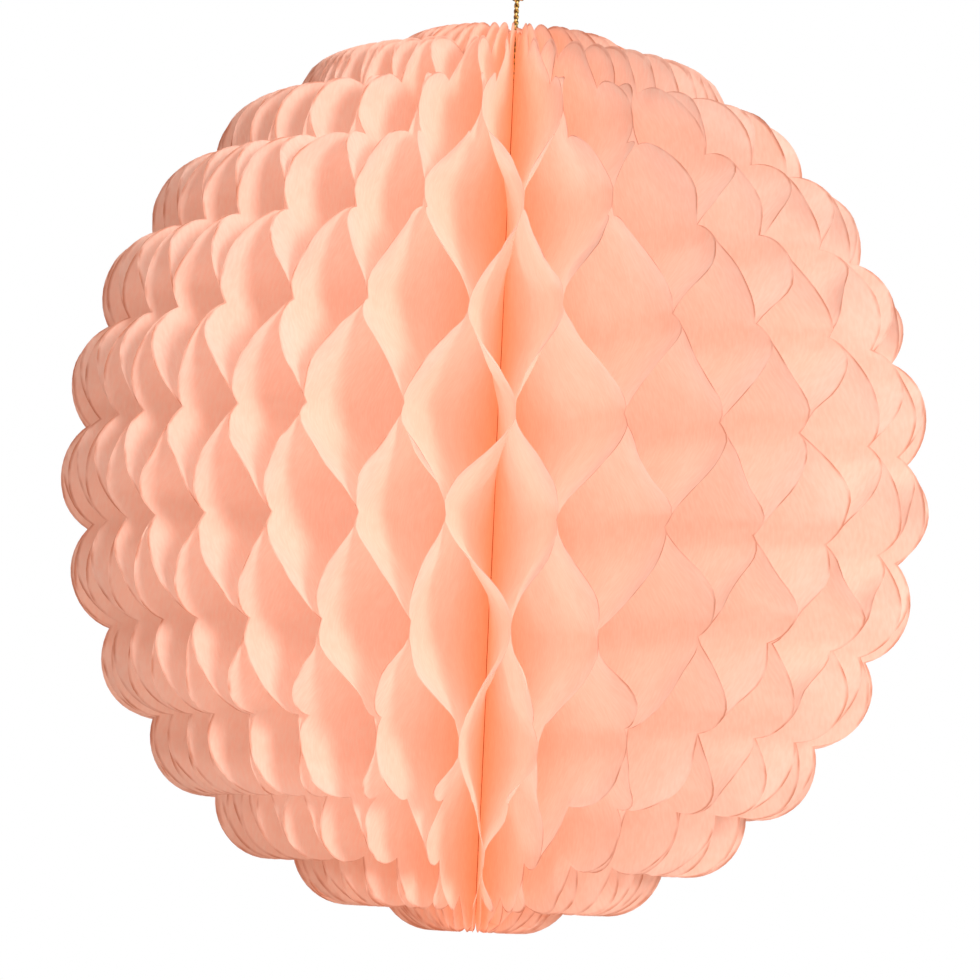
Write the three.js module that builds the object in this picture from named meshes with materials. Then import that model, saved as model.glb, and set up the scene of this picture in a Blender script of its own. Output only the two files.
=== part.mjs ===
// Honeycomb paper ball: half-round tissue leaves with a scalloped edge, glued to each other in alternating
// pairs along level lines and fanned right round a vertical spine, hung on a thin cord that ends in a loop.
// Millimetres, +Z up. The origin is the middle of the ball, and the spine stands on Z.
import * as THREE from "three";

// The ball
const BALL_WIDTH = 238;
const BALL_HEIGHT = 250;
const LEAF_PAIRS = 28;
const GLUE_PITCH = 28; // from one level glue line to the next
const GLUE_WIDTH = 5; // height of one glue line
const SCALLOP_PITCH_DEG = 13.4;
const SCALLOP_DEPTH = 6.6; // from a crown down to a notch
const SCALLOP_STEPS = 6; // straight lengths that draw one scallop
const PATTERN_DROP = 6.5; // glue lines and scallops are set out from a level this far below the middle
const LEAF_CURL = 0.4; // 0 runs a leaf straight from one glue line to the next, 1 lets it leave them squarely
const FREE_TIP = 18; // edge length past the last glue line in which a leaf swings back to its own angle
const SHORTEST_STEP = 2; // a drawn edge point this close to a glue line's end is left out
const HUB_SET_BACK = 1; // from the last glue line to the point that the free tip's walls fan from
const HUB_REACH = 0.37; // that point's distance from the axis, as a share of the edge's at the same level

// The cord, and the spine that holds it
const CORD_DIAMETER = 1.5;
const CORD_CLEARANCE = 0.3; // round the cord and between it and its knots
const CORD_RISE = 9; // from the head of the spine to the loop's knot
const CORD_SIDES = 8;
const CORD_STEP = 4;
const STOP_KNOT_DIAMETER = 3;
const STOP_KNOT_HEIGHT = 3.2;
const STOP_KNOT_DEPTH = 10; // from the head of the spine down to the knot's seat
const SPINE_WALL = 0.9; // bound leaf edges round the stop knot
const LOOP_KNOT_DIAMETER = 4.4;
const LOOP_KNOT_HEIGHT = 4.6;
const KNOT_ROUNDING = 1.1;
const KNOT_SIDES = 12;

// Right half of the loop, x and height above the loop's knot; the left half mirrors it.
const LOOP_ROUTE = [
  [0.9, 0],
  [1.5, 5],
  [2.9, 11],
  [4.7, 18],
  [6.2, 25],
  [6.8, 31],
  [5.9, 36.6],
  [3.4, 40.7],
  [0, 42],
];

const TISSUE = { color: "#ffbd9c", roughness: 0.95, metalness: 0 };
const GOLD_CORD = { color: "#c8a45a", roughness: 0.45, metalness: 0.6 };

const LEAF_COUNT = 2 * Math.round(LEAF_PAIRS); // a joined pair is never split
const LEAF_TURN = (2 * Math.PI) / LEAF_COUNT;
const FRONT = -Math.PI / 2;
const CHANNEL_RADIUS = CORD_DIAMETER / 2 + CORD_CLEARANCE;
const CHAMBER_RADIUS = STOP_KNOT_DIAMETER / 2 + CORD_CLEARANCE;
const SPINE_RADIUS = CHAMBER_RADIUS + SPINE_WALL;

// Gap g lies between leaf g and leaf g + 1, and gap 0 faces the front.
const gapAngle = (gap) => FRONT + gap * LEAF_TURN;
const leafAngle = (leaf) => FRONT + (leaf - 0.5) * LEAF_TURN;
const wrap = (index) => (index + LEAF_COUNT) % LEAF_COUNT;

// Every glue line joins each leaf to one neighbour, and the next line joins it to the other one:
// +1 where line joins the leaf to the leaf ahead of it, -1 where it joins it to the leaf behind.
const gluedSide = (leaf, line) => ((leaf + line) % 2 === 0 ? 1 : -1);

// The drawn edge of a leaf, from the foot of the spine to its head: x is the distance from the axis and
// y the height. Each scallop is an arc from notch to notch over its crown.
function dieCutEdge() {
  const crown = BALL_WIDTH / 2;
  const notch = crown - SCALLOP_DEPTH;
  const pitch = THREE.MathUtils.degToRad(SCALLOP_PITCH_DEG);
  const halfChord = notch * Math.sin(pitch / 2);
  const rise = crown - notch * Math.cos(pitch / 2);
  const arcRadius = (halfChord ** 2 + rise ** 2) / (2 * rise);
  const halfSweep = 2 * Math.atan2(rise, halfChord);
  const middle = -Math.asin((2 * PATTERN_DROP) / BALL_HEIGHT);
  const reach = Math.ceil(Math.PI / 2 / pitch) + 1;
  const points = [];
  for (let scallop = -reach; scallop <= reach; scallop++) {
    for (let step = 0; step < SCALLOP_STEPS; step++) {
      const sweep = halfSweep * ((2 * step) / SCALLOP_STEPS - 1);
      const point = new THREE.Vector2(Math.cos(sweep), Math.sin(sweep)).multiplyScalar(arcRadius);
      point.x += crown - arcRadius;
      point.rotateAround(new THREE.Vector2(), middle + scallop * pitch);
      point.y *= BALL_HEIGHT / BALL_WIDTH;
      points.push(point);
    }
  }
  return trimAtSpine(points);
}

// Keeps the stretch of the outline that lies outside the spine, ending exactly on the spine's surface.
function trimAtSpine(points) {
  const first = points.findIndex((p, i) => p.x > SPINE_RADIUS && points[i - 1]?.x <= SPINE_RADIUS);
  const after = points.findIndex((p, i) => i > first && p.x <= SPINE_RADIUS);
  const onSpine = (inner, outer) => {
    const share = (outer.x - SPINE_RADIUS) / (outer.x - inner.x);
    return outer.clone().lerp(inner, share);
  };
  const foot = onSpine(points[first - 1], points[first]);
  const head = onSpine(points[after], points[after - 1]);
  return [foot, ...points.slice(first, after), head];
}

// Place along the outline, as an index with a fraction, where it first meets a level on the way out from
// the nearer end of the spine.
function placeAtLevel(points, level) {
  const last = points.length - 1;
  const step = level > 0 ? -1 : 1;
  let at = level > 0 ? last : 0;
  while ((points[at + step].y - level) * step < 0) at += step;
  const from = points[at].y;
  const to = points[at + step].y;
  return at + (step * (level - from)) / (to - from);
}

function pointAtPlace(points, place) {
  const index = Math.min(Math.floor(place), points.length - 2);
  return points[index].clone().lerp(points[index + 1], place - index);
}

// One leaf laid out flat: its edge points, the levels at which its walls change, the edge point at each
// level, and the number of the glue line in each strip between two levels (null where there is no glue).
function layOutLeaf() {
  const outline = dieCutEdge();
  const foot = outline[0].y;
  const head = outline[outline.length - 1].y;
  const lines = [];
  const farthest = Math.ceil(BALL_HEIGHT / GLUE_PITCH);
  for (let line = -farthest; line <= farthest; line++) {
    const middle = GLUE_PITCH * (line + 0.5) - PATTERN_DROP;
    if (middle - 1.5 * GLUE_WIDTH > foot && middle + 1.5 * GLUE_WIDTH < head) lines.push({ line, middle });
  }
  const cutLevels = lines.flatMap(({ middle }) => [middle - GLUE_WIDTH / 2, middle + GLUE_WIDTH / 2]);
  const cutPlaces = cutLevels.map((level) => placeAtLevel(outline, level));
  const cutPoints = cutPlaces.map((place) => pointAtPlace(outline, place));
  const drawnPlaces = outline
    .map((point, place) => ({ point, place }))
    .filter(({ point, place }) => {
      const isEnd = place === 0 || place === outline.length - 1;
      return isEnd || cutPoints.every((cut) => cut.distanceTo(point) > SHORTEST_STEP);
    })
    .map(({ place }) => place);
  const places = [...drawnPlaces, ...cutPlaces].sort((a, b) => a - b);
  const edge = places.map((place) => pointAtPlace(outline, place));
  const strips = [null, ...lines.flatMap(({ line }) => [line, null])];
  const stops = [0, ...cutPlaces.map((place) => places.indexOf(place)), places.length - 1];
  return { edge, levels: [foot, ...cutLevels, head], stops, strips };
}

// How far each edge point swings from its leaf's own angle, as a share of the way to the next gap, for a
// leaf that line 0 joins to the leaf ahead. Other leaves swing the same way or its mirror image.
function edgeSwings({ edge, stops, strips }) {
  const along = [0];
  for (let i = 1; i < edge.length; i++) along.push(along[i - 1] + edge[i].distanceTo(edge[i - 1]));
  const swings = new Array(edge.length).fill(0);
  strips.forEach((line, strip) => {
    const [start, end] = [stops[strip], stops[strip + 1]];
    const below = strips[strip - 1];
    const above = strips[strip + 1];
    for (let i = start; i <= end; i++) {
      const fromStart = along[i] - along[start];
      const toEnd = along[end] - along[i];
      if (line !== null) {
        swings[i] = gluedSide(0, line);
      } else if (below === undefined) {
        swings[i] = gluedSide(0, above) * Math.max(0, 1 - toEnd / FREE_TIP);
      } else if (above === undefined) {
        swings[i] = gluedSide(0, below) * Math.max(0, 1 - fromStart / FREE_TIP);
      } else {
        const straight = fromStart / (along[end] - along[start]);
        const curled = THREE.MathUtils.smoothstep(straight, 0, 1);
        const share = THREE.MathUtils.lerp(straight, curled, LEAF_CURL);
        swings[i] = THREE.MathUtils.lerp(gluedSide(0, below), gluedSide(0, above), share);
      }
    }
  });
  return swings;
}

// Triangles of one strip of a leaf's wall. The strips at the ends of the spine fan round a point inside them.
// The others fan from the level nearer the middle of the ball, all but the last length of their edge.
function stripFaces({ levels, stops, strips }, strip) {
  const lower = { level: strip };
  const upper = { level: strip + 1 };
  const atFoot = strip === 0;
  const atHead = strip === strips.length - 1;
  const start = stops[strip] + (atFoot ? 1 : 0);
  const end = stops[strip + 1] - (atHead ? 1 : 0);
  const rims = Array.from({ length: end - start + 1 }, (_, i) => ({ rim: start + i }));
  if (atFoot || atHead) {
    const outline = [lower, ...rims, upper];
    return outline.map((corner, i) => [{ hub: strip }, corner, outline[(i + 1) % outline.length]]);
  }
  const turn = levels[strip] + levels[strip + 1] > 0 ? rims.length - 2 : 1;
  const fan = rims.slice(1).map((rim, i) => [i < turn ? lower : upper, rims[i], rim]);
  return [...fan, [lower, rims[turn], upper]];
}

// Triangles of a flat outline with a hole, all turning anticlockwise.
function triangulateRing(outer, hole) {
  const points = [...outer, ...hole];
  return THREE.ShapeUtils.triangulateShape(outer, [hole]).map(([a, b, c]) => {
    const ab = points[b].clone().sub(points[a]);
    const ac = points[c].clone().sub(points[a]);
    return ab.cross(ac) > 0 ? [a, b, c] : [a, c, b];
  });
}

// Collects shared corners by name, and the triangles between them.
class Skin {
  positions = [];
  triangles = [];
  names = new Map();

  corner(name, radius, angle, height) {
    if (!this.names.has(name)) {
      this.names.set(name, this.positions.length / 3);
      this.positions.push(radius * Math.cos(angle), radius * Math.sin(angle), height);
    }
    return this.names.get(name);
  }

  face(a, b, c) {
    this.triangles.push(a, b, c);
  }

  geometry() {
    const made = new THREE.BufferGeometry();
    made.setAttribute("position", new THREE.Float32BufferAttribute(this.positions, 3));
    made.setIndex(this.triangles);
    made.computeVertexNormals();
    return made;
  }
}

// The glued paper. Neighbouring leaves run together at the spine and thin out from there to their cut
// edges. A strip's wall is left out on the side where a glue line joins the leaf to its neighbour.
function honeycombPaper() {
  const leafPlan = layOutLeaf();
  const { edge, levels, stops, strips } = leafPlan;
  const swings = edgeSwings(leafPlan);
  const lineAtEdge = edge.map((_, i) => {
    const strip = strips.findIndex((line, s) => line !== null && i >= stops[s] && i <= stops[s + 1]);
    return strip < 0 ? null : strips[strip];
  });
  const skin = new Skin();

  const spineCorner = (gap, level) =>
    skin.corner(`spine ${wrap(gap)} ${level}`, SPINE_RADIUS, gapAngle(gap), levels[level]);

  const edgeCorner = (leaf, i) => {
    const line = lineAtEdge[i];
    if (line === null) {
      const swing = swings[i] * gluedSide(leaf, 0);
      const angle = leafAngle(leaf) + (swing * LEAF_TURN) / 2;
      return skin.corner(`edge ${leaf} ${i}`, edge[i].x, angle, edge[i].y);
    }
    const gap = gluedSide(leaf, line) > 0 ? leaf : leaf - 1;
    return skin.corner(`glue ${wrap(gap)} ${i}`, edge[i].x, gapAngle(gap), edge[i].y);
  };

  // The point inside an end strip that its wall fans from, on the face that looks to the given side.
  const hubCorner = (leaf, side, strip) => {
    const stop = strip === 0 ? stops[1] : stops[strip];
    const inner = strip === 0 ? levels[1] : levels[strip];
    const radius = HUB_REACH * edge[stop].x;
    const height = inner + HUB_SET_BACK * Math.sign(inner);
    const swing = (swings[stop] * gluedSide(leaf, 0)) / 2;
    const halfThickness = (SPINE_RADIUS * LEAF_TURN) / 4;
    const angle = leafAngle(leaf) + (swing * LEAF_TURN) / 2 + (side * halfThickness) / radius;
    return skin.corner(`hub ${leaf} ${side} ${strip}`, radius, angle, height);
  };

  strips.forEach((line, strip) => {
    const faces = stripFaces(leafPlan, strip);
    for (let leaf = 0; leaf < LEAF_COUNT; leaf++) {
      for (const side of [-1, 1]) {
        if (line !== null && gluedSide(leaf, line) === side) continue;
        const gap = side > 0 ? leaf : leaf - 1;
        const corner = ({ level, rim, hub }) => {
          if (level !== undefined) return spineCorner(gap, level);
          return rim !== undefined ? edgeCorner(leaf, rim) : hubCorner(leaf, side, hub);
        };
        for (const [a, b, c] of faces) {
          if (side < 0) skin.face(corner(a), corner(b), corner(c));
          else skin.face(corner(a), corner(c), corner(b));
        }
      }
    }
  });

  const headLevel = levels.length - 1;
  const headEdge = edge.length - 2;
  const footCentre = skin.corner("foot centre", 0, 0, levels[0]);
  for (let leaf = 0; leaf < LEAF_COUNT; leaf++) {
    skin.face(spineCorner(leaf - 1, headLevel), edgeCorner(leaf, headEdge), spineCorner(leaf, headLevel));
    skin.face(edgeCorner(leaf, 1), spineCorner(leaf - 1, 0), spineCorner(leaf, 0));
    skin.face(spineCorner(leaf, 0), spineCorner(leaf - 1, 0), footCentre);
  }
  addCordChannel(skin, spineCorner, headLevel, levels[headLevel]);
  return skin.geometry();
}

// The head of the spine, with the channel that the cord comes up through and the chamber for its knot.
function addCordChannel(skin, spineCorner, headLevel, head) {
  const seat = head - STOP_KNOT_DEPTH;
  const floor = seat - STOP_KNOT_HEIGHT - 2 * CORD_CLEARANCE;
  const rings = [
    [CHANNEL_RADIUS, head],
    [CHANNEL_RADIUS, seat],
    [CHAMBER_RADIUS, seat],
    [CHAMBER_RADIUS, floor],
  ];
  const sideAngle = (side) => (2 * Math.PI * side) / KNOT_SIDES;
  const ringCorner = (ring, side) => {
    const [radius, height] = rings[ring];
    return skin.corner(`ring ${ring} ${side % KNOT_SIDES}`, radius, sideAngle(side), height);
  };
  const onCircle = (radius, angle) => new THREE.Vector2(radius * Math.cos(angle), radius * Math.sin(angle));
  const outer = Array.from({ length: LEAF_COUNT }, (_, gap) => onCircle(SPINE_RADIUS, gapAngle(gap)));
  const inner = Array.from({ length: KNOT_SIDES }, (_, side) => onCircle(CHANNEL_RADIUS, sideAngle(side)));
  const capCorner = (i) => (i < LEAF_COUNT ? spineCorner(i, headLevel) : ringCorner(0, i - LEAF_COUNT));
  triangulateRing(outer, inner).forEach((face) => skin.face(...face.map(capCorner)));
  const floorCentre = skin.corner("floor centre", 0, 0, floor);
  for (let side = 0; side < KNOT_SIDES; side++) {
    for (let ring = 0; ring < rings.length - 1; ring++) {
      const [a, b] = [ringCorner(ring, side), ringCorner(ring, side + 1)];
      const [c, d] = [ringCorner(ring + 1, side + 1), ringCorner(ring + 1, side)];
      skin.face(a, b, c);
      skin.face(a, c, d);
    }
    skin.face(ringCorner(rings.length - 1, side), ringCorner(rings.length - 1, side + 1), floorCentre);
  }
}

// A length of cord along a curve.
function cordAlong(curve) {
  const section = new THREE.Shape();
  for (let side = 0; side < CORD_SIDES; side++) {
    const angle = (2 * Math.PI * side) / CORD_SIDES;
    const x = (CORD_DIAMETER / 2) * Math.cos(angle);
    const y = (CORD_DIAMETER / 2) * Math.sin(angle);
    if (side === 0) section.moveTo(x, y);
    else section.lineTo(x, y);
  }
  section.closePath();
  const steps = Math.max(2, Math.round(curve.getLength() / CORD_STEP));
  return new THREE.ExtrudeGeometry(section, { steps, extrudePath: curve, bevelEnabled: false });
}

// A tight wrapped knot: a short barrel with rounded ends, standing on its foot at height 0.
function knot(diameter, height) {
  const radius = diameter / 2;
  const rounding = Math.min(KNOT_ROUNDING, radius, height / 2);
  const profile = new THREE.Path();
  profile.moveTo(0, 0);
  profile.lineTo(radius - rounding, 0);
  profile.absarc(radius - rounding, rounding, rounding, -Math.PI / 2, 0);
  profile.lineTo(radius, height - rounding);
  profile.absarc(radius - rounding, height - rounding, rounding, 0, Math.PI / 2);
  profile.lineTo(0, height);
  return new THREE.LatheGeometry(profile.getPoints(3), KNOT_SIDES).rotateX(Math.PI / 2);
}

function piece(name, geometry, finish, height = 0) {
  const mesh = new THREE.Mesh(geometry, new THREE.MeshStandardMaterial(finish));
  mesh.name = name;
  mesh.position.z = height;
  return mesh;
}

const paper = honeycombPaper();
const { levels } = layOutLeaf();
const spineHead = levels[levels.length - 1];
const stopKnotFoot = spineHead - STOP_KNOT_DEPTH - CORD_CLEARANCE - STOP_KNOT_HEIGHT;
const cordFoot = stopKnotFoot + STOP_KNOT_HEIGHT + CORD_CLEARANCE;
const loopKnotFoot = spineHead + CORD_RISE;
const cordHead = loopKnotFoot - CORD_CLEARANCE;
const loopFoot = loopKnotFoot + LOOP_KNOT_HEIGHT + CORD_CLEARANCE;

const straight = new THREE.LineCurve3(new THREE.Vector3(), new THREE.Vector3(0, 0, cordHead - cordFoot));
const rightHalf = LOOP_ROUTE.map(([x, height]) => new THREE.Vector3(x, 0, height));
const leftHalf = LOOP_ROUTE.slice(0, -1).map(([x, height]) => new THREE.Vector3(-x, 0, height));
const loop = new THREE.CatmullRomCurve3([...rightHalf, ...leftHalf.reverse()]);

const ball = new THREE.Group();
ball.add(
  piece("honeycomb_paper", paper, TISSUE),
  piece("cord_stop_knot", knot(STOP_KNOT_DIAMETER, STOP_KNOT_HEIGHT), GOLD_CORD, stopKnotFoot),
  piece("hanging_cord", cordAlong(straight), GOLD_CORD, cordFoot),
  piece("loop_knot", knot(LOOP_KNOT_DIAMETER, LOOP_KNOT_HEIGHT), GOLD_CORD, loopKnotFoot),
  piece("hanging_loop", cordAlong(loop), GOLD_CORD, loopFoot),
);

export default ball;
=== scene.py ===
import math

import bpy
import numpy as np
from mathutils import Matrix, Vector


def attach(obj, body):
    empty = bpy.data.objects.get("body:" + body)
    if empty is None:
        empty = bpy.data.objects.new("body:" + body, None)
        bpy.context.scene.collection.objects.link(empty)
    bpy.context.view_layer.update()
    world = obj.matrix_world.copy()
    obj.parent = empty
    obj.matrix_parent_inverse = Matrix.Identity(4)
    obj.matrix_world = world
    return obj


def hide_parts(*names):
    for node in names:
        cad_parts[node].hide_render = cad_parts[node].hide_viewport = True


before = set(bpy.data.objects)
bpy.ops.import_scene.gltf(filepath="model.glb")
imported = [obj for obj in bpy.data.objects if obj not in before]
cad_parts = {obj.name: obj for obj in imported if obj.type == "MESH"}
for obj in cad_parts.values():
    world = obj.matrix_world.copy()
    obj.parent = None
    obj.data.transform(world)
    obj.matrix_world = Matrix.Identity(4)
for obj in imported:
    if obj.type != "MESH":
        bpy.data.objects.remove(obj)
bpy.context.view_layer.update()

# The ball, in metres
BALL_WIDTH = 0.238
BALL_HEIGHT = 0.250
LEAF_COUNT = 56
GLUE_PITCH = 0.028
GLUE_WIDTH = 0.005
GLUE_LINES = range(-4, 4)
SCALLOP_PITCH = math.radians(13.4)
SCALLOP_DEPTH = 0.0066
PATTERN_DROP = 0.0065
LEAF_CURL = 0.4
FREE_TIP = 0.018
SPINE_RADIUS = 0.001
TISSUE_THICKNESS = 0.00008
GLUE_GAP = 0.00002

# How far glue points stray from their places, as usual and at most: aside in gaps, and up or down in metres.
# The free tips at the foot and head of a leaf swing aside in half gaps.
GLUE_ASIDE = 0.1
GLUE_ASIDE_MOST = 0.25
GLUE_OFF_LEVEL = 0.0012
GLUE_OFF_LEVEL_MOST = 0.003
TIP_SWING = 0.3
TIP_SWING_MOST = 0.6

# How finely a leaf is drawn
SCALLOP_STEPS = 14
ROWS_TO_SPINE = 16
ROW_CROWDING = 1.5
SPINE_GATHER = 0.75
LEAVES_TO_A_QUARTER = LEAF_COUNT // 4

# How the ball is opened: the width in degrees of some gaps between two leaves, counted from the front.
# It is fanned a little wide on its right and tight round its left, and the gaps in between are blended.
FRONT = -math.pi / 2
OPENING = {-28: 7.4, -20: 5.6, -15: 4.4, -10: 3.8, -7: 5.3, -4: 6.4, 0: 6.6, 3: 7.3, 28: 7.3}
PLACES_TO_A_GAP = 20

# On its right the ball is drawn in by a share, which brings the glue lines closer together. That starts at
# one gap, is full at the next, and fades over the last few gaps up to its end.
DRAWN_IN = 0.11
DRAWN_FROM = 2
DRAWN_FULL = 5
DRAWN_TO = 20
DRAWN_EASE = 5

# The cord's route: up out of the spine, through the knot and round the loop
CORD_FOOT = 0.11426
CORD_EXIT = 0.12426
LOOP_KNOT_FOOT = 0.13326
LOOP_KNOT_HEIGHT = 0.0046
LOOP_KNOT_DIAMETER = 0.0044
STOP_KNOT_FOOT = 0.11076
STOP_KNOT_HEIGHT = 0.0032
STOP_KNOT_DIAMETER = 0.003
LOOP_KNOT_STRAND = 0.00075
STOP_KNOT_STRAND = 0.0006
KNOT_STEPS = 120
KNOT_ROOM = 0.0018
KNOT_EASE = 0.004
LOOP_FOOT = 0.13816
LOOP_HALF = [
    (0.0009, 0.0),
    (0.0015, 0.005),
    (0.0029, 0.011),
    (0.0047, 0.018),
    (0.0062, 0.025),
    (0.0068, 0.031),
    (0.0059, 0.0366),
    (0.0034, 0.0407),
    (0.0, 0.042),
]
CORD_STEP = 0.0002
SPAN_STEPS = 24
STRAND_ROUNDNESS = 3
PLY_RADIUS = 0.0004
PLY_OFFSET = 0.00035
TWIST_PITCH = 0.0032

# Most of a noise texture's values lie between these two.
NOISE_LOW = 0.3
NOISE_HIGH = 0.7

rng = np.random.default_rng(56)


def linear(code):
    """An sRGB hex colour as the linear colour that a shader takes."""
    parts = [int(code[i:i + 2], 16) / 255 for i in (1, 3, 5)]
    return tuple(p / 12.92 if p <= 0.04045 else ((p + 0.055) / 1.055) ** 2.4 for p in parts) + (1.0,)


def add_node(tree, kind, settings=None, **sockets):
    """Adds a node, sets its properties, and sets or links its inputs, by name or as i0, i1 by place."""
    node = tree.nodes.new(kind)
    for name, value in (settings or {}).items():
        setattr(node, name, value)
    for name, value in sockets.items():
        by_place = name[0] == "i" and name[1:].isdigit()
        socket = node.inputs[int(name[1:]) if by_place else name.replace("_", " ")]
        if isinstance(value, bpy.types.NodeSocket):
            tree.links.new(value, socket)
        else:
            socket.default_value = value
    return node


def new_material(name):
    """A material with no nodes yet, and its node tree."""
    material = bpy.data.materials.new(name)
    material.use_nodes = True
    material.node_tree.nodes.clear()
    return material, material.node_tree


def select_only(*objects):
    """Selects these objects and no others, with the first as the active one."""
    bpy.ops.object.select_all(action="DESELECT")
    for one in objects:
        one.select_set(True)
    bpy.context.view_layer.objects.active = objects[0]


def smooth(share):
    """A share from 0 to 1 that starts and ends gently."""
    share = np.clip(share, 0, 1)
    return share * share * (3 - 2 * share)


def finish_piece(piece, material, slot, *nodes):
    """Smooths a piece, gives it its material, hangs it on the root body and hides the model's parts it stands
    for.
    """
    select_only(piece)
    bpy.ops.object.shade_smooth()
    piece.data.materials.clear()
    piece.data.materials.append(material)
    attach(piece, "root")
    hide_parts(*nodes)


# Camera: a long lens a little below the ball's middle, with the ball leaning slightly to the right.
CAMERA_DISTANCE = 1.19
CAMERA_LEFT = math.radians(1.9)
CAMERA_BELOW = math.radians(5.3)
CAMERA_ROLL = math.radians(2.6)
CAMERA_LENS = 159
CAMERA_SENSOR = 36
CAMERA_SHIFT = (-0.0056, -0.0122)

bpy.ops.object.select_all(action="DESELECT")
bpy.ops.object.camera_add()
camera = bpy.context.object
camera.name = "camera"
camera.data.lens = CAMERA_LENS
camera.data.sensor_width = CAMERA_SENSOR
camera.data.shift_x, camera.data.shift_y = CAMERA_SHIFT
camera.location = CAMERA_DISTANCE * Vector((
    -math.sin(CAMERA_LEFT) * math.cos(CAMERA_BELOW),
    -math.cos(CAMERA_LEFT) * math.cos(CAMERA_BELOW),
    -math.sin(CAMERA_BELOW),
))
aim = (-camera.location).to_track_quat("-Z", "Y").to_matrix()
camera.rotation_euler = (aim @ Matrix.Rotation(CAMERA_ROLL, 3, "Z")).to_euler()
bpy.context.scene.camera = camera


# Metallic gold yarn: a narrow gold foil strip wound round a dark thread, so it glints in fine slanting bands.
# The foil's turns are drawn coarser than the real 0.2 mm, so that they show. The bands of a wave texture at
# scale 1 lie about a third of a metre apart.
FOIL_PITCH = 0.0009
BAND_REPEAT = 0.31
GLINT_SIZE = 0.0006
FOIL_RELIEF = 0.0001
FOIL_ROUGHNESS = (0.28, 0.5)

gold, tree = new_material("metallic_gold_yarn")
place = add_node(tree, "ShaderNodeTexCoord")
foil = add_node(tree, "ShaderNodeTexWave", {"bands_direction": "DIAGONAL"}, Vector=place.outputs["Object"],
                Scale=BAND_REPEAT / FOIL_PITCH, Distortion=1.5, Detail=1.0)
glint = add_node(tree, "ShaderNodeTexNoise", Vector=place.outputs["Object"], Scale=1 / GLINT_SIZE, Detail=2.0)
tint = add_node(tree, "ShaderNodeMix", {"data_type": "RGBA"}, i0=foil.outputs["Fac"], i6=linear("#5E4520"),
                i7=linear("#E2BE72"))
shine = add_node(tree, "ShaderNodeMapRange", i0=glint.outputs["Fac"], i1=NOISE_LOW, i2=NOISE_HIGH,
                 i3=FOIL_ROUGHNESS[0], i4=FOIL_ROUGHNESS[1])
relief = add_node(tree, "ShaderNodeBump", Strength=0.5, Distance=FOIL_RELIEF, Height=foil.outputs["Fac"])
yarn = add_node(tree, "ShaderNodeBsdfPrincipled", Base_Color=tint.outputs[2], Metallic=0.8,
                Roughness=shine.outputs[0], Normal=relief.outputs[0])
add_node(tree, "ShaderNodeOutputMaterial", Surface=yarn.outputs[0])


# The cord and its knots

def along(points, step):
    """Points at an even step along a smooth curve through the given points, and the curve's length."""
    points = np.array(points)
    padded = np.vstack((2 * points[0] - points[1], points, 2 * points[-1] - points[-2]))
    dense = []
    for a, b, c, d in zip(padded, padded[1:], padded[2:], padded[3:]):
        for t in np.linspace(0, 1, SPAN_STEPS, endpoint=False):
            dense.append(0.5 * (2 * b + (c - a) * t + (2 * a - 5 * b + 4 * c - d) * t ** 2
                                + (3 * b - a - 3 * c + d) * t ** 3))
    dense = np.array(dense + [points[-1]])
    run = np.concatenate(([0], np.cumsum(np.linalg.norm(np.diff(dense, axis=0), axis=1))))
    marks = np.linspace(0, run[-1], int(round(run[-1] / step)) + 1)
    return np.stack([np.interp(marks, run, dense[:, k]) for k in range(3)], axis=1), run[-1]


def round_strand(name, line, radius, closed):
    """A round strand along a line, as a mesh."""
    curve = bpy.data.curves.new(name, "CURVE")
    curve.dimensions = "3D"
    curve.bevel_depth = radius
    curve.bevel_resolution = STRAND_ROUNDNESS
    curve.use_fill_caps = True
    spline = curve.splines.new("POLY")
    spline.points.add(len(line) - 1)
    spline.points.foreach_set("co", np.column_stack((line, np.ones(len(line)))).ravel())
    spline.use_cyclic_u = closed
    made = bpy.data.objects.new(name, curve)
    bpy.context.collection.objects.link(made)
    select_only(made)
    bpy.ops.object.convert(target="MESH")
    return bpy.context.object


def ply_line(route, start):
    """The winding of one ply round the cord's route."""
    ahead = np.gradient(route, axis=0)
    ahead /= np.linalg.norm(ahead, axis=1)[:, None]
    side = np.cross(ahead, (0, 1, 0))
    side /= np.linalg.norm(side, axis=1)[:, None]
    other = np.cross(ahead, side)
    run = np.concatenate(([0], np.cumsum(np.linalg.norm(np.diff(route, axis=0), axis=1))))
    turn = start + 2 * math.pi * run / TWIST_PITCH
    return route + PLY_OFFSET * (np.cos(turn)[:, None] * side + np.sin(turn)[:, None] * other)


def overhand_knot(name, foot, height, diameter, strand):
    """A tight overhand knot that fills the given room."""
    t = np.linspace(0, 2 * math.pi, KNOT_STEPS + 1)[:-1]
    line = np.stack((
        np.sin(t) + 2 * np.sin(2 * t),
        np.cos(t) - 2 * np.cos(2 * t),
        -np.sin(3 * t),
    ), axis=1)
    room = np.array((diameter / 2, diameter / 2, height / 2)) - strand
    line = line / np.abs(line).max(axis=0) * room + np.array((0, 0, foot + height / 2))
    return round_strand(name, line, strand, True)


loop_right = [(x, 0, LOOP_FOOT + up) for x, up in LOOP_HALF]
loop_left = [(-x, 0, LOOP_FOOT + up) for x, up in reversed(LOOP_HALF[:-1])]
route = [(0, 0, CORD_FOOT), (0, 0, CORD_EXIT), (0, 0, LOOP_KNOT_FOOT)] + loop_right + loop_left
cord_line, cord_length = along(route, CORD_STEP)
plies = [round_strand("ply", ply_line(cord_line, start), PLY_RADIUS, False) for start in (0, math.pi)]
select_only(*plies)
bpy.ops.object.join()
cord = bpy.context.object
cord.name = "hanging_cord_twisted"
finish_piece(cord, gold, "gold_cord", "hanging_cord", "hanging_loop")

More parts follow.
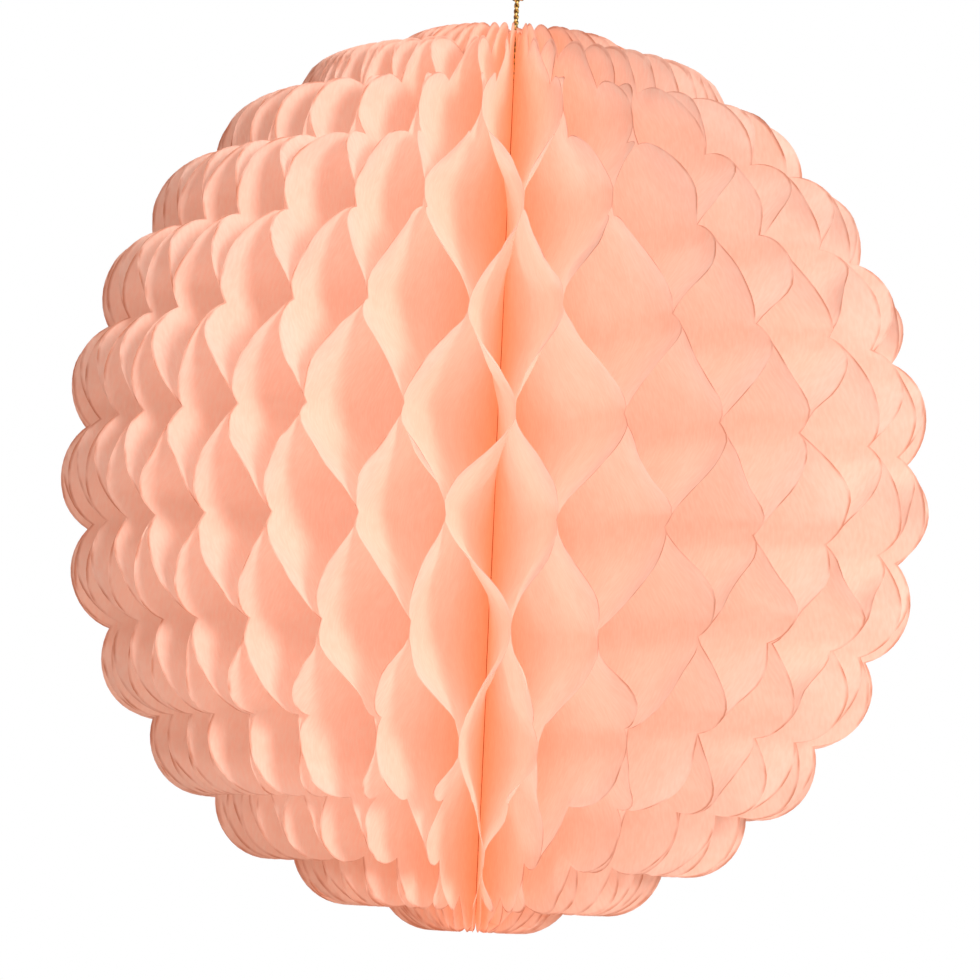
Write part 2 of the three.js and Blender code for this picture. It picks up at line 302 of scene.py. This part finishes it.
loop_knot = overhand_knot("loop_knot_tied", LOOP_KNOT_FOOT, LOOP_KNOT_HEIGHT, LOOP_KNOT_DIAMETER,
                          LOOP_KNOT_STRAND)
finish_piece(loop_knot, gold, "gold_cord", "loop_knot")
stop_knot = overhand_knot("cord_stop_knot_tied", STOP_KNOT_FOOT, STOP_KNOT_HEIGHT, STOP_KNOT_DIAMETER,
                          STOP_KNOT_STRAND)
finish_piece(stop_knot, gold, "gold_cord", "cord_stop_knot")


# Peach tissue paper: thin dyed pulp, quite matt, cloudy against the light, with fine fibres. A darker line
# along the die-cut edge, stronger in some places than others, is painted shade for the thin shadow where one
# leaf's edge lies over the next. About a third of its light comes through from behind. For light that bounces
# between the leaves the paper is painted pale, a painted brightening so that this light loses little, and a
# deeper orange towards the spine, painted shade for the depth of the folds. The fibres are drawn coarser than
# the real 0.02 mm, so that they show.
CLOUD_SIZE = 0.007
FIBRE_SIZE = 0.0009
EDGE_SHADE_WIDTH = 0.0009
PASSED_LIGHT = 0.35
FOLD_SHADE_REACH = 0.065
FIBRE_SLIMNESS = 0.35
FIBRE_RELIEF = 0.0002
CLOUD_SHARE = 0.6
PULP_RANGE = (0.55, 1.05)
EDGE_SHADE_NOISE = (0.35, 0.65)
EDGE_SHADE_STRENGTH = (0.1, 0.8)
TISSUE_ROUGHNESS = (0.82, 0.96)

tissue, tree = new_material("peach_tissue_paper")
sheet = add_node(tree, "ShaderNodeUVMap", {"uv_map": "sheet"})
cloud = add_node(tree, "ShaderNodeTexNoise", {"noise_dimensions": "2D"}, Vector=sheet.outputs[0],
                 Scale=1 / CLOUD_SIZE, Detail=1.0)
grain = add_node(tree, "ShaderNodeMapping", Vector=sheet.outputs[0], Scale=(1.0, FIBRE_SLIMNESS, 1.0))
fibre = add_node(tree, "ShaderNodeTexNoise", {"noise_dimensions": "2D"}, Vector=grain.outputs[0],
                 Scale=1 / FIBRE_SIZE, Detail=1.0)
pulp = add_node(tree, "ShaderNodeMath", {"operation": "MULTIPLY_ADD"}, i0=cloud.outputs["Fac"],
                i1=CLOUD_SHARE, i2=fibre.outputs["Fac"])
thick = add_node(tree, "ShaderNodeMapRange", i0=pulp.outputs[0], i1=PULP_RANGE[0], i2=PULP_RANGE[1],
                 i3=0.0, i4=1.0)
face_tint = add_node(tree, "ShaderNodeMix", {"data_type": "RGBA"}, i0=thick.outputs[0],
                     i6=linear("#FFD4C2"), i7=linear("#FFCCB8"))
# Painted shade: a darker line along the die-cut edge stands for the thin shadow where one leaf's edge lies
# over the next; a cloudy noise makes it stronger in some places than others.
edge = add_node(tree, "ShaderNodeAttribute", {"attribute_name": "from_edge"})
edge_shade_amount = add_node(tree, "ShaderNodeMapRange", i0=cloud.outputs["Fac"], i1=EDGE_SHADE_NOISE[0],
                   i2=EDGE_SHADE_NOISE[1], i3=EDGE_SHADE_STRENGTH[0], i4=EDGE_SHADE_STRENGTH[1])
cut = add_node(tree, "ShaderNodeMapRange", i0=edge.outputs["Fac"], i1=EDGE_SHADE_WIDTH / 3, i2=EDGE_SHADE_WIDTH,
               i3=edge_shade_amount.outputs[0], i4=0.0)
face_tint = add_node(tree, "ShaderNodeMix", {"data_type": "RGBA"}, i0=cut.outputs[0],
                     i6=face_tint.outputs[2], i7=linear("#D28A6E"))
# Painted light and shade for bounced rays: the paper is painted pale, so light that bounces between leaves
# loses little, and a deeper orange within a reach of the spine, painted shade for the depth of the folds.
ray = add_node(tree, "ShaderNodeLightPath")
spine = add_node(tree, "ShaderNodeAttribute", {"attribute_name": "from_spine"})
deep = add_node(tree, "ShaderNodeMapRange", i0=spine.outputs["Fac"], i1=0.0, i2=FOLD_SHADE_REACH, i3=1.0, i4=0.0)
wander_tint = add_node(tree, "ShaderNodeMix", {"data_type": "RGBA"}, i0=deep.outputs[0],
                       i6=linear("#FFF6F0"), i7=linear("#FFC89E"))
face_tint = add_node(tree, "ShaderNodeMix", {"data_type": "RGBA"}, i0=ray.outputs["Is Diffuse Ray"],
                     i6=face_tint.outputs[2], i7=wander_tint.outputs[2])
pass_tint = add_node(tree, "ShaderNodeMix", {"data_type": "RGBA"}, i0=thick.outputs[0],
                     i6=linear("#FFE7DC"), i7=linear("#FFE0D3"))
# The same painted edge shade in the light that comes through the paper.
pass_tint = add_node(tree, "ShaderNodeMix", {"data_type": "RGBA"}, i0=cut.outputs[0],
                     i6=pass_tint.outputs[2], i7=linear("#D9977C"))
matt = add_node(tree, "ShaderNodeMapRange", i0=fibre.outputs["Fac"], i1=NOISE_LOW, i2=NOISE_HIGH,
                i3=TISSUE_ROUGHNESS[0], i4=TISSUE_ROUGHNESS[1])
relief = add_node(tree, "ShaderNodeBump", Strength=0.25, Distance=FIBRE_RELIEF, Height=fibre.outputs["Fac"])
face = add_node(tree, "ShaderNodeBsdfPrincipled", Base_Color=face_tint.outputs[2],
                Roughness=matt.outputs[0], Specular_IOR_Level=0.0, Normal=relief.outputs[0])
through = add_node(tree, "ShaderNodeBsdfTranslucent", Color=pass_tint.outputs[2], Normal=relief.outputs[0])
both = add_node(tree, "ShaderNodeMixShader", i0=PASSED_LIGHT, i1=face.outputs[0], i2=through.outputs[0])
add_node(tree, "ShaderNodeOutputMaterial", Surface=both.outputs[0])


# Glued tissue edges: the leaves' spine edges soaked with glue, a cloudy deep orange with a faint gloss.
GLUED_ROUGHNESS = (0.6, 0.85)

glued, tree = new_material("glued_tissue_edges")
sheet = add_node(tree, "ShaderNodeUVMap", {"uv_map": "sheet"})
soak = add_node(tree, "ShaderNodeTexNoise", {"noise_dimensions": "2D"}, Vector=sheet.outputs[0],
                Scale=1 / CLOUD_SIZE, Detail=2.0)
tint = add_node(tree, "ShaderNodeMix", {"data_type": "RGBA"}, i0=soak.outputs["Fac"], i6=linear("#EC7446"),
                i7=linear("#FFA67E"))
shine = add_node(tree, "ShaderNodeMapRange", i0=soak.outputs["Fac"], i1=NOISE_LOW, i2=NOISE_HIGH,
                 i3=GLUED_ROUGHNESS[0], i4=GLUED_ROUGHNESS[1])
bound = add_node(tree, "ShaderNodeBsdfPrincipled", Base_Color=tint.outputs[2], Roughness=shine.outputs[0],
                 Specular_IOR_Level=0.2)
add_node(tree, "ShaderNodeOutputMaterial", Surface=bound.outputs[0])


# The tissue leaves

def scalloped_edge():
    """The die-cut edge of a flat leaf, from the foot of the spine to its head.

    Gives distances from the axis, heights, and each point's place in its scallop, counted in scallops.
    """
    crown = BALL_WIDTH / 2
    notch = crown - SCALLOP_DEPTH
    half_chord = notch * math.sin(SCALLOP_PITCH / 2)
    rise = crown - notch * math.cos(SCALLOP_PITCH / 2)
    arc = (half_chord ** 2 + rise ** 2) / (2 * rise)
    half_sweep = 2 * math.atan2(rise, half_chord)
    middle = -math.asin(2 * PATTERN_DROP / BALL_HEIGHT)
    reach = math.ceil(math.pi / 2 / SCALLOP_PITCH) + 1
    sweep = half_sweep * (2 * np.arange(SCALLOP_STEPS) / SCALLOP_STEPS - 1)
    x, y = crown - arc + arc * np.cos(sweep), arc * np.sin(sweep)
    turns = middle + SCALLOP_PITCH * np.arange(-reach, reach + 1)
    out = (np.cos(turns)[:, None] * x - np.sin(turns)[:, None] * y).ravel()
    up = (np.sin(turns)[:, None] * x + np.cos(turns)[:, None] * y).ravel() * BALL_HEIGHT / BALL_WIDTH
    scallop = np.arange(len(out)) / SCALLOP_STEPS
    first = np.argmax((out[1:] > SPINE_RADIUS) & (out[:-1] <= SPINE_RADIUS)) + 1
    after = first + np.argmax(out[first:] <= SPINE_RADIUS)
    ends = []
    for inner, outer in ((first - 1, first), (after, after - 1)):
        share = (out[outer] - SPINE_RADIUS) / (out[outer] - out[inner])
        ends.append(up[outer] + share * (up[inner] - up[outer]))
    out = np.concatenate(([SPINE_RADIUS], out[first:after], [SPINE_RADIUS]))
    up = np.concatenate(([ends[0]], up[first:after], [ends[1]]))
    return out, up, scallop[first - 1:after + 1]


def glued_side(leaf, line):
    """+1 where the line joins the leaf to the one ahead of it, -1 to the one behind."""
    return 1 if (leaf + line) % 2 == 0 else -1


def stray(usual, most, *shape):
    """Random amounts to either side of nought, none of them more than the most."""
    return np.clip(rng.normal(0, usual, shape), -most, most)


# Each glue point sits a little off its place, and pulls both of its leaves with it.
glue_turn = stray(GLUE_ASIDE, GLUE_ASIDE_MOST, LEAF_COUNT, len(GLUE_LINES))
glue_height = stray(GLUE_OFF_LEVEL, GLUE_OFF_LEVEL_MOST, LEAF_COUNT, len(GLUE_LINES))
gap_count = np.arange(LEAF_COUNT)
drawn = DRAWN_IN * smooth((gap_count - DRAWN_FROM) / (DRAWN_FULL - DRAWN_FROM))
drawn *= smooth((DRAWN_TO - gap_count) / DRAWN_EASE)
glue_height += np.outer(1 - drawn, GLUE_PITCH * (np.array(GLUE_LINES) + 0.5) - PATTERN_DROP)
tip_swing = stray(TIP_SWING, TIP_SWING_MOST, LEAF_COUNT, 2)


def glue_points(leaf):
    """The heights of a leaf's glue lines, and how far each pulls it aside, in half gaps."""
    levels, swings = [], []
    for index, line in enumerate(GLUE_LINES):
        side = glued_side(leaf, line)
        gap = (leaf if side > 0 else leaf - 1) % LEAF_COUNT
        levels.append(glue_height[gap, index])
        swings.append(side + 2 * glue_turn[gap, index])
    return levels, swings


def swing(leaf, levels, swings, height):
    """How far the leaf stands off its own angle at each height, in half gaps."""
    half = GLUE_WIDTH / 2
    foot, head = tip_swing[leaf % LEAF_COUNT]
    result = np.empty_like(height)
    low = height <= levels[0]
    result[low] = swings[0] + (foot - swings[0]) * smooth((levels[0] - half - height[low]) / FREE_TIP)
    high = height > levels[-1]
    result[high] = swings[-1] + (head - swings[-1]) * smooth((height[high] - levels[-1] - half) / FREE_TIP)
    for k in range(len(levels) - 1):
        between = (height > levels[k]) & (height <= levels[k + 1])
        share = (height[between] - levels[k] - half) / (levels[k + 1] - levels[k] - GLUE_WIDTH)
        share = np.clip(share, 0, 1)
        share = share + LEAF_CURL * (smooth(share) - share)
        result[between] = swings[k] + share * (swings[k + 1] - swings[k])
    return result


# The angle turned from the back of the ball to each place round it, from the widths of the gaps on the way
places = np.linspace(-LEAF_COUNT / 2, LEAF_COUNT / 2, PLACES_TO_A_GAP * LEAF_COUNT + 1)
gap_width = np.interp(places, list(OPENING), list(OPENING.values()))
turned = np.concatenate(([0], np.cumsum(gap_width[1:] + gap_width[:-1])))
turned *= 2 * math.pi / turned[-1]


def opened(place):
    """The angle of a place that is counted in gaps from the front."""
    place = (place + LEAF_COUNT / 2) % LEAF_COUNT - LEAF_COUNT / 2
    return FRONT + np.interp(place, places, turned) - np.interp(0, places, turned)


edge_out, edge_up, edge_scallop = scalloped_edge()
columns = len(edge_out) - 1

bpy.ops.object.select_all(action="DESELECT")
bpy.ops.mesh.primitive_grid_add(x_subdivisions=columns, y_subdivisions=ROWS_TO_SPINE, size=1)
flat_leaf = bpy.context.object
flat_leaf.name = "flat_leaf"
flat_leaf.data.uv_layers[0].name = "sheet"
grid = np.empty(len(flat_leaf.data.vertices) * 3)
flat_leaf.data.vertices.foreach_get("co", grid)
grid = grid.reshape(-1, 3)
corners = np.empty(len(flat_leaf.data.loops), dtype=int)
flat_leaf.data.loops.foreach_get("vertex_index", corners)
column = np.rint((grid[:, 0] + 0.5) * columns).astype(int)

# Rows crowd towards the edge, and the inner ends of the columns gather on the spine.
out_share = 1 - (0.5 - grid[:, 1]) ** ROW_CROWDING
spine_up = SPINE_GATHER * BALL_HEIGHT / 2 * np.sin(np.arctan2(edge_up / BALL_HEIGHT, edge_out / BALL_WIDTH))
leaf_up = spine_up[column] + out_share * (edge_up[column] - spine_up[column])
past_knot = np.abs(leaf_up - STOP_KNOT_FOOT - STOP_KNOT_HEIGHT / 2) - STOP_KNOT_HEIGHT / 2
inner = KNOT_ROOM + (SPINE_RADIUS - KNOT_ROOM) * smooth(past_knot / KNOT_EASE)
leaf_out = inner + out_share * (edge_out[column] - SPINE_RADIUS)
from_edge = np.hypot(edge_out[column] - leaf_out, edge_up[column] - leaf_up)
scallop = edge_scallop[column]
flat_leaf.data.attributes.new("from_edge", "FLOAT", "POINT").data.foreach_set("value", from_edge)
flat_leaf.data.attributes.new("from_spine", "FLOAT", "POINT").data.foreach_set("value", leaf_out)

# How the paper buckles, in metres. Waves fade out towards the spine and the glue lines, and the leaves round
# the handled one have stronger curls and creases.
WRINKLE = 0.0004
WRINKLE_LENGTHS = (0.013, 0.017, 0.022, 0.028, 0.036, 0.046)
MAIN_LENGTH = 0.036
WRINKLE_FROM_SPINE = 0.08
FREE_EASE = 0.009
EDGE_CURL = 0.0011
CURL_REACH = 0.010
CREASE = 0.0007
CREASES_TO_A_LEAF = 11
CREASE_INWARD = (0.88, 0.98)
CREASE_WIDTH = 0.003
CREASE_LENGTH = 0.011
HANDLED_LEAF = 11
HANDLED_LEAVES = 4
HANDLED_MORE = 2.2


def creases():
    """Short sharp creases near the edge of one leaf, where the tissue was pinched to open the ball."""
    relief = np.zeros_like(leaf_up)
    for near in rng.integers(0, len(edge_out), CREASES_TO_A_LEAF):
        heading, inward = rng.uniform(0, math.pi), rng.uniform(*CREASE_INWARD)
        out, up = leaf_out - inward * edge_out[near], leaf_up - inward * edge_up[near]
        along_crease = out * math.cos(heading) + up * math.sin(heading)
        across_crease = up * math.cos(heading) - out * math.sin(heading)
        fade = np.exp(-np.abs(across_crease) / CREASE_WIDTH - (along_crease / CREASE_LENGTH) ** 2)
        relief += rng.normal(0, CREASE) * fade
    return relief


def wrinkles(leaf, levels):
    """How the free paper of one leaf buckles sideways.

    It has soft waves, and each scallop's edge is curled its own way. Leaves on the right were handled most.
    """
    handled = 1 + HANDLED_MORE * math.exp(-((leaf - HANDLED_LEAF) / HANDLED_LEAVES) ** 2)
    free = np.min([np.abs(leaf_up - level) for level in levels], axis=0)
    free = smooth((free - GLUE_WIDTH / 2) / FREE_EASE)
    waves = np.zeros_like(leaf_up)
    for length in WRINKLE_LENGTHS:
        heading, phase = rng.uniform(0, 2 * math.pi, 2)
        run = leaf_out * math.cos(heading) + leaf_up * math.sin(heading)
        waves += (length / MAIN_LENGTH) * np.sin(2 * math.pi / length * run + phase)
    curl = rng.normal(0, EDGE_CURL, int(edge_scallop[-1]) + 2)[scallop.astype(int)]
    curl = curl * np.sin(math.pi * (scallop % 1)) * np.clip(1 - from_edge / CURL_REACH, 0, 1) ** 2
    soft = WRINKLE * waves * smooth(leaf_out / WRINKLE_FROM_SPINE)
    return free * (soft + handled * (curl + creases()))


def fan_out(leaf):
    """A copy of the flat leaf, turned to its place round the spine and bent from glue line to glue line."""
    select_only(flat_leaf)
    bpy.ops.object.duplicate()
    made = bpy.context.object
    levels, swings = glue_points(leaf)
    bend = swing(leaf, levels, swings, leaf_up)
    angle = opened(leaf - 0.5 + bend / 2)
    aside = wrinkles(leaf, levels) - bend * (TISSUE_THICKNESS / 2 + GLUE_GAP)
    made.data.vertices.foreach_set("co", np.stack((
        leaf_out * np.cos(angle) - aside * np.sin(angle),
        leaf_out * np.sin(angle) + aside * np.cos(angle),
        leaf_up,
    ), axis=1).ravel())
    own_place = np.stack((leaf_out + leaf * BALL_WIDTH, leaf_up), axis=1)
    made.data.uv_layers[0].data.foreach_set("uv", own_place[corners].ravel())
    made.data.update()
    return made


for quarter, name in enumerate(("front_right", "back_right", "back_left", "front_left")):
    leaves = [fan_out(quarter * LEAVES_TO_A_QUARTER + leaf + 1) for leaf in range(LEAVES_TO_A_QUARTER)]
    select_only(*leaves)
    bpy.ops.object.join()
    fan = bpy.context.object
    fan.name = "tissue_leaves_" + name
    finish_piece(fan, tissue, "tissue", "honeycomb_paper")
bpy.data.objects.remove(flat_leaf)


# The bound edges of the leaves: a slim core that fills the middle, from the lower tips up to the cord's knot.
# Its end faces are found by how straight up or down they point.
CORE_RADIUS = 0.0013
CORE_FOOT = -0.119
CORE_ROUNDING = 0.0006
CORE_ROUNDING_STEPS = 3
END_FACE = 0.9

bpy.ops.object.select_all(action="DESELECT")
core_height = STOP_KNOT_FOOT - CORE_FOOT
bpy.ops.mesh.primitive_cylinder_add(vertices=LEAF_COUNT, radius=CORE_RADIUS, depth=core_height,
                                    location=(0, 0, CORE_FOOT + core_height / 2))
core = bpy.context.object
core.name = "bound_leaf_edges"
bpy.ops.object.transform_apply(location=True)
for side in core.data.polygons:
    side.select = abs(side.normal.z) > END_FACE
bpy.ops.object.mode_set(mode="EDIT")
bpy.ops.mesh.bevel(offset=CORE_ROUNDING, segments=CORE_ROUNDING_STEPS)
bpy.ops.object.mode_set(mode="OBJECT")
core.data.uv_layers[0].name = "sheet"
core_place = np.empty(len(core.data.loops) * 2)
core.data.uv_layers[0].data.foreach_get("uv", core_place)
core_place = core_place.reshape(-1, 2) * (2 * math.pi * CORE_RADIUS, core_height)
core.data.uv_layers[0].data.foreach_set("uv", core_place.ravel())
finish_piece(core, glued, "tissue", "honeycomb_paper")


# Studio: a pale floor well below, a soft key light from the front right, and a surround that is bright above
# on the right and dark on the other side.
FLOOR_DROP = 1.2
FLOOR_RADIUS = 3
FLOOR_SIDES = 96
FLOOR_LIFT = 0.5
KEY_TURN = math.radians(23)
KEY_RISE = math.radians(10)
KEY_DISTANCE = 1.6
KEY_SIZE = 0.4
KEY_POWER = 17.5
KEY_BOUNCES = 2
ROOM_BRIGHT_WAY = Vector((0.4, -0.3, 0.8)).normalized()
BACKWARDS = (0, 1, 0)

# Light that has wandered between the leaves for more than two bounces. It is strong from the front, and falls
# from where its way leans this far backwards to nothing straight behind. After two bounces a ray looks only a
# short reach for the next leaf and then takes this light, which keeps the render short.
WANDER_DEPTH = 2.5
WANDER_LEAN = -0.2
WANDER_FRONT = 1.64
WANDER_BEHIND = 0.0
WANDER_REACH = 0.00005
WANDER_BOUNCES = 2


def backdrop_rays(tree, ray):
    """1 for rays that see the pale backdrop: from the camera, off a gloss or through glass."""
    seen = add_node(tree, "ShaderNodeMath", {"operation": "MAXIMUM"}, i0=ray.outputs["Is Camera Ray"],
                    i1=ray.outputs["Is Glossy Ray"])
    seen = add_node(tree, "ShaderNodeMath", {"operation": "MAXIMUM"}, i0=seen.outputs[0],
                    i1=ray.outputs["Is Transmission Ray"])
    seen = add_node(tree, "ShaderNodeMath", {"operation": "SUBTRACT", "use_clamp": True}, i0=seen.outputs[0],
                    i1=ray.outputs["Is Diffuse Ray"])
    return seen.outputs[0]


bpy.ops.object.select_all(action="DESELECT")
bpy.ops.mesh.primitive_circle_add(vertices=FLOOR_SIDES, radius=FLOOR_RADIUS, fill_type="NGON",
                                  location=(0, 0, -FLOOR_DROP))
floor = bpy.context.object
floor.name = "floor"
paint, tree = new_material("pale_studio_floor")
matt = add_node(tree, "ShaderNodeBsdfDiffuse", Color=linear("#F4F2EE"))
ray = add_node(tree, "ShaderNodeLightPath")
lift = add_node(tree, "ShaderNodeMath", {"operation": "MULTIPLY"}, i0=backdrop_rays(tree, ray),
                i1=FLOOR_LIFT)
pale = add_node(tree, "ShaderNodeEmission", Strength=lift.outputs[0])
shown = add_node(tree, "ShaderNodeAddShader", i0=matt.outputs[0], i1=pale.outputs[0])
add_node(tree, "ShaderNodeOutputMaterial", Surface=shown.outputs[0])
floor.data.materials.append(paint)

key_place = KEY_DISTANCE * Vector((
    math.sin(KEY_TURN) * math.cos(KEY_RISE),
    -math.cos(KEY_TURN) * math.cos(KEY_RISE),
    math.sin(KEY_RISE),
))
bpy.ops.object.select_all(action="DESELECT")
bpy.ops.object.light_add(type="AREA", location=key_place)
key = bpy.context.object
key.name = "key_softbox"
key.data.size = KEY_SIZE
key.data.energy = KEY_POWER
key.data.cycles.max_bounces = KEY_BOUNCES
key.rotation_euler = (-key_place).to_track_quat("-Z", "Y").to_euler()

world = bpy.data.worlds.new("studio")
bpy.context.scene.world = world
world.use_nodes = True
tree = world.node_tree
tree.nodes.clear()
ray = add_node(tree, "ShaderNodeLightPath")
way = add_node(tree, "ShaderNodeTexCoord")
towards = add_node(tree, "ShaderNodeVectorMath", {"operation": "DOT_PRODUCT"}, i0=way.outputs["Generated"],
                   i1=ROOM_BRIGHT_WAY)
level = add_node(tree, "ShaderNodeMapRange", i0=towards.outputs["Value"], i1=0.0, i2=1.0, i3=0.0, i4=1.0)
room = add_node(tree, "ShaderNodeBackground", Color=(1, 1, 1, 1), Strength=level.outputs[0])
wandered = add_node(tree, "ShaderNodeMath", {"operation": "GREATER_THAN"}, i0=ray.outputs["Ray Depth"],
                    i1=WANDER_DEPTH)
behind = add_node(tree, "ShaderNodeVectorMath", {"operation": "DOT_PRODUCT"}, i0=way.outputs["Generated"],
                  i1=BACKWARDS)
fill = add_node(tree, "ShaderNodeMapRange", i0=behind.outputs["Value"], i1=WANDER_LEAN, i2=1.0,
                i3=WANDER_FRONT, i4=WANDER_BEHIND)
between = add_node(tree, "ShaderNodeBackground", Color=linear("#FFE1D6"), Strength=fill.outputs[0])
room = add_node(tree, "ShaderNodeMixShader", i0=wandered.outputs[0], i1=room.outputs[0],
                i2=between.outputs[0])
backdrop = add_node(tree, "ShaderNodeBackground", Color=(1, 1, 1, 1), Strength=1.0)
shown = add_node(tree, "ShaderNodeMixShader", i0=backdrop_rays(tree, ray), i1=room.outputs[0],
                 i2=backdrop.outputs[0])
add_node(tree, "ShaderNodeOutputWorld", Surface=shown.outputs[0])

cycles = bpy.context.scene.cycles
cycles.use_light_tree = False
cycles.use_fast_gi = True
cycles.fast_gi_method = "REPLACE"
cycles.ao_bounces_render = WANDER_BOUNCES
world.light_settings.distance = WANDER_REACH
world.light_settings.ao_factor = 1.0
world.cycles.sampling_method = "NONE"

bpy.context.scene.view_settings.view_transform = "Standard"
